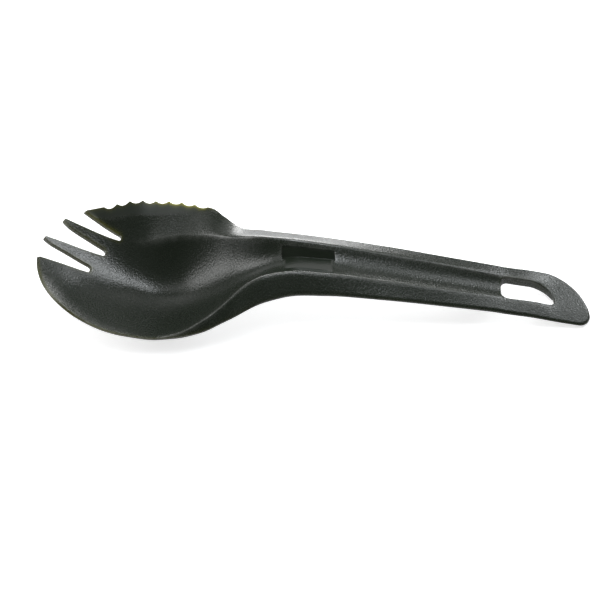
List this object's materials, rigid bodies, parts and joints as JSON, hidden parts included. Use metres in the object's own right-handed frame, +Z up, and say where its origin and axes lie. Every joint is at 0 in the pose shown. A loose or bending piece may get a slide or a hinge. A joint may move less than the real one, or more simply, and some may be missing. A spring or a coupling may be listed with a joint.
{
  "type": "spork",
  "caption": "Camping spork: round spoon bowl with tines at its tip, a serrated cutting side, an arched grooved handle and a slot to hang it by.",
  "frame": {"origin": "on the table, under the centre of the part's box", "axes": "+X from the tines to the hang slot, +Y from the round rim to the serrated side, +Z up out of the bowl"},
  "size_m": [0.17, 0.0456, 0.0262],
  "materials": {
    "moulding": "fine spark-eroded grain, satin, very dark olive grey"
  },
  "bodies": {
    "root": {"bowl": "moulding", "lip_tine": "moulding", "near_tine": "moulding", "far_tine": "moulding", "serrated_blade": "moulding", "neck": "moulding", "grip": "moulding", "hang_loop": "moulding"}
  },
  "joints": []
}
